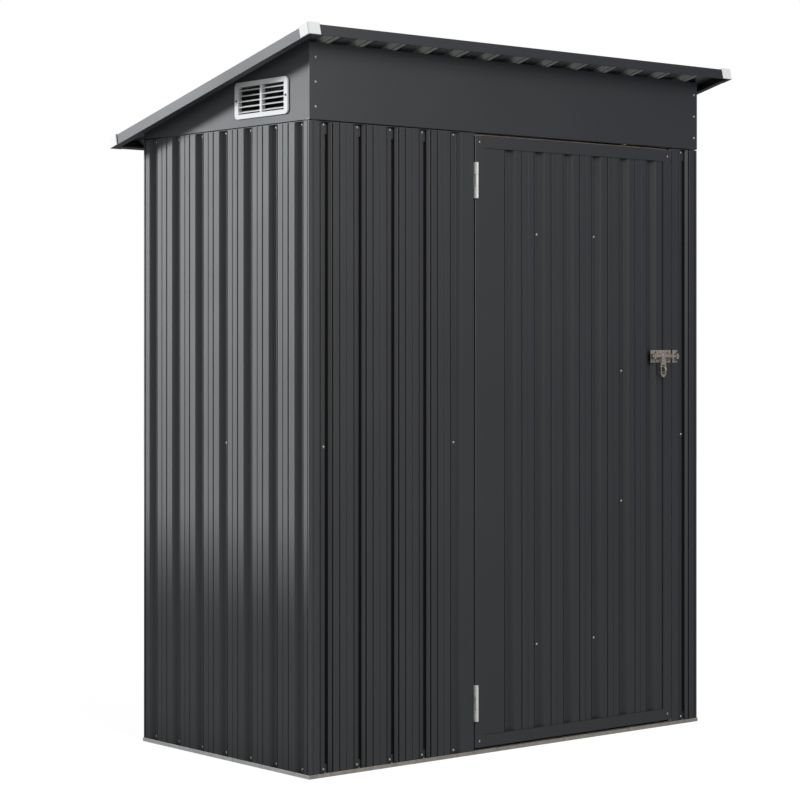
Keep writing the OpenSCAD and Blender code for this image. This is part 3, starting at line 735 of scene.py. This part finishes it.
rail_w = rail_hi.x - rail_lo.x
bars = [
    angle_bar("door_stile_hinge",
              (stile_lo, (1, 0, 0), (0, 1, 0), (0, 0, 1)), door_h),
    angle_bar("door_stile_latch",
              ((latch_hi.x, latch_lo.y, latch_lo.z), (-1, 0, 0), (0, 1, 0), (0, 0, 1)), door_h),
    angle_bar("door_rail_top",
              ((rail_lo.x, rail_lo.y, rail_hi.z), (0, 0, -1), (0, 1, 0), (1, 0, 0)), rail_w),
    angle_bar("door_rail_bottom",
              ((rail_lo.x, rail_lo.y, stile_lo.z), (0, 0, 1), (0, 1, 0), (1, 0, 0)), rail_w),
]
print("door", round(latch_hi.x - stile_lo.x, 3), "x", round(door_h, 3), "m,", len(bars),
      "frame bars")

# %% [markdown]
# ## The roof
#
# The roof is the same ribbed sheet, laid on the slope with its grooves pointing down, so
# they show as a row of tongues under the front edge. Working in the slope's own axes keeps
# this simple: one runs across, one down the slope and one square to it. Under the roof the
# crests that hang down get a paler coat and the rest a darker one, face by face: painted
# light on the crests and painted shade between them.

# %% Roof sheet
SLOPE = math.radians(14.1)
OVERHANG = 76 * MM
fascia_lo, fascia_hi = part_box("front_fascia")
ridge = Vector((0, front, fascia_hi.z + STEEL))
down = Vector((0, math.cos(SLOPE), -math.sin(SLOPE)))
square = Vector((0, math.sin(SLOPE), math.cos(SLOPE)))
roof_lo, roof_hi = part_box("roof_sheet")
trim_x0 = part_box("roof_trim_left")[0].x
trim_x1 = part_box("roof_trim_right")[1].x
roof_run = (back - front) / math.cos(SLOPE) + 2 * OVERHANG
roof_top = DEPTH + STEEL
EDGE = 1.4 * MM
roof_basis = (ridge - down * (OVERHANG - EDGE) + square * roof_top, (1, 0, 0), -square, down)
roof_skin = folded("roof_skin", ribs(roof_lo.x, roof_hi.x, front_places, plain=True),
                   0.6 * MM, STEEL, roof_basis, roof_run - 2 * EDGE, inside=shaded_under_coat)
# Painted light and shade: the hanging crests take the pale coat, the rest of the underside and
# the notches the dark one.
roof_skin.data.materials.append(lit_crest_coat)
SHADED_UNDER, LIT_CREST = 1, 2
LIT_CREST_BAND = (-14 * MM, 10 * MM)
SHADED_NOTCH_BAND = (-7.3 * MM, -4.1 * MM)
for face in roof_skin.data.polygons:
    nearest = min(front_places, key=lambda c: abs(face.center.x - c))
    from_rib = face.center.x - nearest
    in_shaded_notch = SHADED_NOTCH_BAND[0] < from_rib < SHADED_NOTCH_BAND[1]
    lit_crest = LIT_CREST_BAND[0] < from_rib < LIT_CREST_BAND[1] and not in_shaded_notch
    if face.material_index == SHADED_UNDER and lit_crest:
        face.material_index = LIT_CREST
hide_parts("roof_sheet")
print("roof", round(roof_run, 3), "m down the slope")

# %% [markdown]
# ## Roof trims
#
# A channel is slipped over each edge of the roof and mitred at the corners, so a mitre is
# simply a strip whose length depends on how deep a point lies in the channel. The front one
# is drawn without its lower lip, so that the ribs' ends show under it.

# %% Roof trims
TRIM_FLANGE = 20 * MM
TRIM_H = 28 * MM
trim_top = roof_top + 0.1 * MM + STEEL
trim_low = trim_top - TRIM_H
corner = ridge - down * OVERHANG
far = corner + down * roof_run


def channel(name, at, inward, along, length, lower=True, paint=None):
    """A channel with its web outside, its open side inward."""
    basis = (at + square * trim_low, inward, square, along)
    outline = [(TRIM_FLANGE, TRIM_H), (0, TRIM_H), (0, 0)]
    if lower:
        outline.append((TRIM_FLANGE, 0))
    strip = folded(name + "_channel", outline, 1.4 * MM, STEEL, basis, length,
                   outside=paint or trim_paint, mitre=1)
    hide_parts(name)
    return strip


across = Vector((1, 0, 0))
roof_w = trim_x1 - trim_x0
left_x = across * trim_x0
right_x = across * trim_x1
channels = [
    channel("roof_trim_front", corner + left_x, down, across, roof_w, False, shaded_rim_paint),
    channel("roof_trim_back", far + left_x, -down, across, roof_w),
    channel("roof_trim_left", corner + left_x, across, down, roof_run),
    channel("roof_trim_right", corner + right_x, -across, down, roof_run),
]
print("roof trims", len(channels), "of", round(roof_w, 3), "and", round(roof_run, 3), "m")

# %% [markdown]
# ## Flat panels
#
# The panel over the door is folded back along its foot, so it ends in a soft edge. The two
# gables are plain cut sheets with a hole for the vent. A gable is drawn as a ring of four
# faces between its outer and its inner corners, which keeps the hole without any cutting.
# All panels stop a few millimetres above the walls: the joint must read as a dark line.

# %% Fascia
JOINT = 2 * MM
fascia_w = fascia_hi.x - fascia_lo.x
fascia_low = fascia_lo.z + JOINT
fascia = folded("front_fascia_skin", [(0, 12 * MM), (0, 0), (fascia_hi.z - fascia_low, 0)],
                1.4 * MM, STEEL,
                ((fascia_lo.x, fascia_lo.y, fascia_low), (0, 0, 1), (0, 1, 0), (1, 0, 0)),
                fascia_w, outside=front_paint, inside=back_coat)
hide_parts("front_fascia")
print("fascia", round(fascia_w, 3), "x", round(fascia_hi.z - fascia_low, 3), "m")


# %% [markdown]
# The gables are made one at a time. Their upper edge follows the slope, and the hole is a
# little smaller than the vent's rim, so the rim covers its edge.


# %% Gables
def gable(node, vent, side):
    """A cut sheet under the slope with a hole for the vent; side is -1 or 1."""
    lo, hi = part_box(node)
    v_lo, v_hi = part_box(vent)
    x = lo.x if side < 0 else hi.x
    y0, y1 = lo.y + JOINT, hi.y
    z0 = head + JOINT + 1.4 * MM
    rim = 13 * MM

    def roof_at(y):
        return hi.z - (y - lo.y) * math.tan(SLOPE)

    outer = [(y0, z0), (y1, z0), (y1, roof_at(y1)), (y0, roof_at(y0))]
    inner = [(v_lo.y + rim, v_lo.z + rim * 0.8), (v_hi.y - rim, v_lo.z + rim * 0.8),
             (v_hi.y - rim, v_hi.z - rim * 0.8), (v_lo.y + rim, v_hi.z - rim * 0.8)]
    mesh = bpy.data.meshes.new(node + "_panel")
    bm = bmesh.new()
    rings = [[bm.verts.new((x, y, z)) for y, z in ring] for ring in (outer, inner)]
    for k in range(4):
        m = (k + 1) % 4
        bm.faces.new([rings[0][k], rings[0][m], rings[1][m], rings[1][k]])
    bmesh.ops.recalc_face_normals(bm, faces=bm.faces)
    if bm.faces[0].normal.x * side < 0:
        bmesh.ops.reverse_faces(bm, faces=bm.faces)
    bm.to_mesh(mesh)
    bm.free()
    panel = piece(node + "_panel", mesh, "shed", "wall_paint", wall_paint)
    thick = panel.modifiers.new("thick", "SOLIDIFY")
    thick.thickness = STEEL
    thick.offset = -1
    soft = panel.modifiers.new("soft", "BEVEL")
    soft.width = 0.4 * MM
    soft.segments = 2
    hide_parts(node)
    return smooth(panel)


gables = [gable("left_gable", "left_vent", -1), gable("right_gable", "right_vent", 1)]
print("gables", [g.name for g in gables])

# %% [markdown]
# ## Softened solids
#
# Small plates, lugs and caps already have the right shape, but real edges are never knife
# sharp. This copies such a solid, joins its triangles back into flat faces and gives every
# sharp edge a narrow round.


# %% Soften helper
def softened(node, width, material, slot, body, segments=2, name=None):
    """A copy of a solid with its sharp edges rounded by width."""
    mesh = nodes[node].data.copy()
    mesh.materials.clear()
    bm = bmesh.new()
    bm.from_mesh(mesh)
    bmesh.ops.remove_doubles(bm, verts=bm.verts, dist=0.00001)
    bmesh.ops.dissolve_limit(bm, angle_limit=math.radians(1), verts=bm.verts, edges=bm.edges)
    for f in bm.faces:
        f.material_index = 0
    bm.to_mesh(mesh)
    bm.free()
    obj = piece(name or node + "_soft", mesh, body, slot, material)
    soft = obj.modifiers.new("soft", "BEVEL")
    soft.width = width
    soft.segments = segments
    soft.limit_method = "ANGLE"
    soft.angle_limit = math.radians(40)
    soft.use_clamp_overlap = True
    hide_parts(node)
    return smooth(obj, 50)


# %% [markdown]
# The base rails, corner caps, hinges, latch and vents all go through that helper. The
# staple's foot lies against the door and takes the door's paint; its loop is plated.

# %% Hardware
# The side and back rails take the pale zinc: painted light.
rails = [softened(n, 0.5 * MM, lit_side_zinc, "galvanised_rail", "shed")
         for n in ("base_back_rail", "base_left_rail", "base_right_rail")]
rails.append(softened("base_front_rail", 0.5 * MM, galvanised, "galvanised_rail", "shed"))
softened("roof_caps", 1.2 * MM, cap_white, "cap_plastic", "shed", segments=3)
# The hinges' pale steel is painted light.
hinges = [softened("hinge_leaves_wall", 0.35 * MM, lit_hinge_steel, "zinc_hardware", "shed"),
          softened("hinge_leaves_door", 0.35 * MM, lit_hinge_steel, "zinc_hardware", "door")]
latch = [softened("latch_plate", 0.4 * MM, plated, "zinc_hardware", "door"),
         softened("latch_guides", 0.6 * MM, plated, "zinc_hardware", "door"),
         softened("staple", 0.3 * MM, plated, "zinc_hardware", "door"),
         softened("keeper", 0.5 * MM, plated, "zinc_hardware", "shed"),
         softened("latch_bolt", 0.3 * MM, plated, "zinc_hardware", "latch_bolt"),
         softened("latch_tongue", 0.4 * MM, plated, "zinc_hardware", "latch_tongue")]
staple = latch[2]
staple_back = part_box("staple")[1].y
STAPLE_FOOT = 3 * MM
staple.data.materials.append(front_paint)
for face in staple.data.polygons:
    if face.center.y > staple_back - STAPLE_FOOT:
        face.material_index = 1
vents = [softened("left_vent", 0.5 * MM, vent_white, "vent_plastic", "shed"),
         softened("right_vent", 0.5 * MM, vent_white, "vent_plastic", "shed")]
print("softened solids", 1 + len(rails) + len(hinges) + len(latch) + len(vents))

# %% [markdown]
# ## Screws
#
# Every sheet is held by small domed screws: one in each groove's floor along the foot and
# the head, and a few half way up. The screws of one body and finish are one mesh, so a
# hundred of them are only five pieces. The head is turned like a pot: a few rings from the
# rim up to the crown, with a cross-shaped hollow whose ring goes in and out four times.

# %% Screw finishes
screw_metal = zinc("screw_metal", (0.5, 0.5, 0.48), 0.4, 0.002, 0.02)
# A dark finish: painted shade in the screws' cross hollows; the vent screws are wholly this
# dark metal.
dark_metal_and_recess_shade = zinc("dark_metal_and_recess_shade", (0.1, 0.1, 0.1), 0.6, 0.002, 0.02)
dark_steel = zinc("dark_steel", (0.16, 0.15, 0.14), 0.25, 0.002, 0.02, metallic=0.8)
print("screw finishes", 3)

# %% [markdown]
# A head is made ring by ring. Each screw is turned by its own fixed angle, because nobody
# stops a driver at the same place twice.

# %% Screw helper
AROUND = 24
CROSS_EDGE = 0.3
TURN_STEP = 2.399


def add_screw(bm, at, out, radius, turn=0.0):
    """One domed head with a washer flange and a cross in its crown."""
    spin = Vector(out).to_track_quat("Z", "Y").to_matrix().to_4x4()
    place = Matrix.Translation(at) @ spin @ Matrix.Rotation(turn, 4, "Z")

    def cross(angle, wide, narrow):
        return radius * (wide if math.cos(4 * angle) > CROSS_EDGE else narrow)

    rings = []
    for r, h in ((1.0, 0.0), (1.0, 0.16), (0.93, 0.2), (0.84, 0.36), (0.68, 0.5), (0.5, 0.58)):
        rings.append([(radius * r, radius * h)] * AROUND)
    angles = [2 * math.pi * k / AROUND for k in range(AROUND)]
    rings.append([(cross(a, 0.44, 0.16), radius * 0.6) for a in angles])
    rings.append([(cross(a, 0.36, 0.12), radius * 0.24) for a in angles])
    rows = []
    for ring in rings:
        rows.append([bm.verts.new(place @ Vector((r * math.cos(a), r * math.sin(a), h)))
                     for (r, h), a in zip(ring, angles)])
    for low_row, high_row in zip(rows, rows[1:]):
        for k in range(AROUND):
            m = (k + 1) % AROUND
            face = bm.faces.new([low_row[k], low_row[m], high_row[m], high_row[k]])
            # The cross's hollow takes the second, dark finish: painted shade.
            face.material_index = 1 if high_row is rows[-1] else 0
    bottom = bm.faces.new(rows[-1])
    bottom.material_index = 1


def screws(name, places, body, slot="zinc_hardware", metal=None):
    """All screws of one body; places are (point, outward direction, head radius)."""
    mesh = bpy.data.meshes.new(name)
    bm = bmesh.new()
    for k, (at, out, radius) in enumerate(places):
        add_screw(bm, Vector(at), out, radius, turn=k * TURN_STEP)
    bm.to_mesh(mesh)
    bm.free()
    # The second finish, in the cross's hollow, is painted shade.
    obj = piece(name, mesh, body, slot, metal or screw_metal, dark_metal_and_recess_shade)
    obj.data.polygons.foreach_set("use_smooth", [True] * len(obj.data.polygons))
    obj.data.set_sharp_from_angle(angle=math.radians(38))
    return obj


# %% [markdown]
# Screws sit in the floors of the grooves: a row near the ground, a row under the roof and a
# few half way. The fascia has three at each end, and the door has one near each corner and
# six along its sheet, where the straps run behind it.

# %% Wall and door screws
HEAD = 3.3 * MM
inside_groove = DEPTH - 0.1 * MM
low_row, high_row, mid_row = 17 * MM, 1614 * MM, 816 * MM


def in_groove(origin, out, places, z):
    """Screws in the floors of grooves; origin(p) is the wall's face at the place p."""
    return [(Vector(origin(p)) + Vector((0, 0, z)) - Vector(out) * inside_groove, out, HEAD)
            for p in places]


def on_front(p):
    return (p, front, 0)


def on_back(p):
    return (p, back, 0)


def on_left(p):
    return (left, p, 0)


def on_right(p):
    return (right, p, 0)


OUT_FRONT, OUT_BACK, OUT_LEFT, OUT_RIGHT = (0, -1, 0), (0, 1, 0), (-1, 0, 0), (1, 0, 0)
beside_door = (between(front_places, left, doorway[0])
               + between(front_places, doorway[1], right))
held = []
for z in (low_row, high_row):
    held += in_groove(on_front, OUT_FRONT, beside_door, z)
    held += in_groove(on_back, OUT_BACK, front_places, z)
    held += in_groove(on_left, OUT_LEFT, side_places, z)
    held += in_groove(on_right, OUT_RIGHT, side_places, z)
held += in_groove(on_front, OUT_FRONT, [beside_door[0], beside_door[-2], beside_door[-1]],
                  mid_row)
held += in_groove(on_back, OUT_BACK, front_places[::4], mid_row)
held += in_groove(on_left, OUT_LEFT, [side_places[3]], mid_row)
held += in_groove(on_right, OUT_RIGHT, [side_places[3]], mid_row)
fascia_face = fascia_lo.y
for x in (left + 19.2 * MM, right - 11.5 * MM):
    held += [((x, fascia_face, z * MM), OUT_FRONT, HEAD) for z in (1778, 1717, 1656)]
screws("wall_screws", held, "shed")

door_face = stile_lo.y
door_left = stile_lo.x
groove_face = sheet_lo.y
door_held = [((door_left + x * MM, door_face, z * MM), OUT_FRONT, HEAD)
             for x, z in ((14.5, 1599), (722.5, 1598), (14.1, 32.6), (723, 33))]
door_held += [((door_left + x * MM, groove_face + inside_groove, z * MM), OUT_FRONT, HEAD)
              for x, z in ((232, 1364), (446, 1364), (553, 997), (553, 638), (232, 268),
                           (446, 268))]
screws("door_screws", door_held, "door")
print("wall screws", len(held), "door screws", len(door_held))

# %% [markdown]
# The latch plate and the keeper are held by darker screws, and each vent by one at each end.

# %% Latch, keeper and vent screws
plate_lo, plate_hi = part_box("latch_plate")
keep_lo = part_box("keeper")[0]
bolt_z = (plate_lo.z + plate_hi.z) / 2
latch_held = [((x, plate_lo.y, bolt_z + s * 11 * MM), OUT_FRONT, 3.6 * MM)
              for x in (plate_lo.x + 17 * MM, plate_hi.x - 14 * MM) for s in (-1, 1)]
screws("latch_screws", latch_held, "door", metal=dark_steel)
keeper_x = keep_lo.x + 15.5 * MM
keeper_face = plate_lo.y
keeper_held = [((keeper_x, keeper_face, bolt_z + s * 10.5 * MM), OUT_FRONT, 3.4 * MM)
               for s in (-1, 1)]
screws("keeper_screws", keeper_held, "shed", metal=dark_steel)
vent_held = []
for node, out in (("left_vent", OUT_LEFT), ("right_vent", OUT_RIGHT)):
    v_lo, v_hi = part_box(node)
    face = v_lo.x if out[0] < 0 else v_hi.x
    middle = (v_lo.z + v_hi.z) / 2
    vent_held += [((face, y, middle), out, 3.2 * MM)
                  for y in (v_lo.y + 8 * MM, v_hi.y - 8 * MM)]
screws("vent_screws", vent_held, "shed", metal=dark_metal_and_recess_shade)
print("latch", len(latch_held), "keeper", len(keeper_held), "vents", len(vent_held))

# %% [markdown]
# ## The pieces that stay as they are
#
# What is left are plain folded strips that mostly stand inside the walls. They keep their
# shape and only take a finish: dark paint where a strip shows in a joint between painted
# pieces, zinc for the others. The top rails and the front upstands are zinc, so on them the
# dark paint is painted shade, which makes the joints and slits read dark.

# %% Finishes for the frame
# Dark paint for these strips; on the zinc top rails and front upstands it is painted shade.
paint_and_joint_shade = ["back_strip", "front_upstands", "fascia_posts", "top_front_rails", "top_back_rail",
           "top_left_rail", "top_right_rail", "corner_post_front_left",
           "corner_post_front_right", "corner_post_back_left", "corner_post_back_right"]
for name, obj in nodes.items():
    if obj.hide_render:
        continue
    obj.data.materials.clear()
    # The header takes the pale zinc: painted light, which lifts it in the fascia's shade.
    metal = lit_header_zinc if name == "door_header" else galvanised
    obj.data.materials.append(wall_paint if name in paint_and_joint_shade else metal)
print("kept solids", [n for n, o in nodes.items() if not o.hide_render])
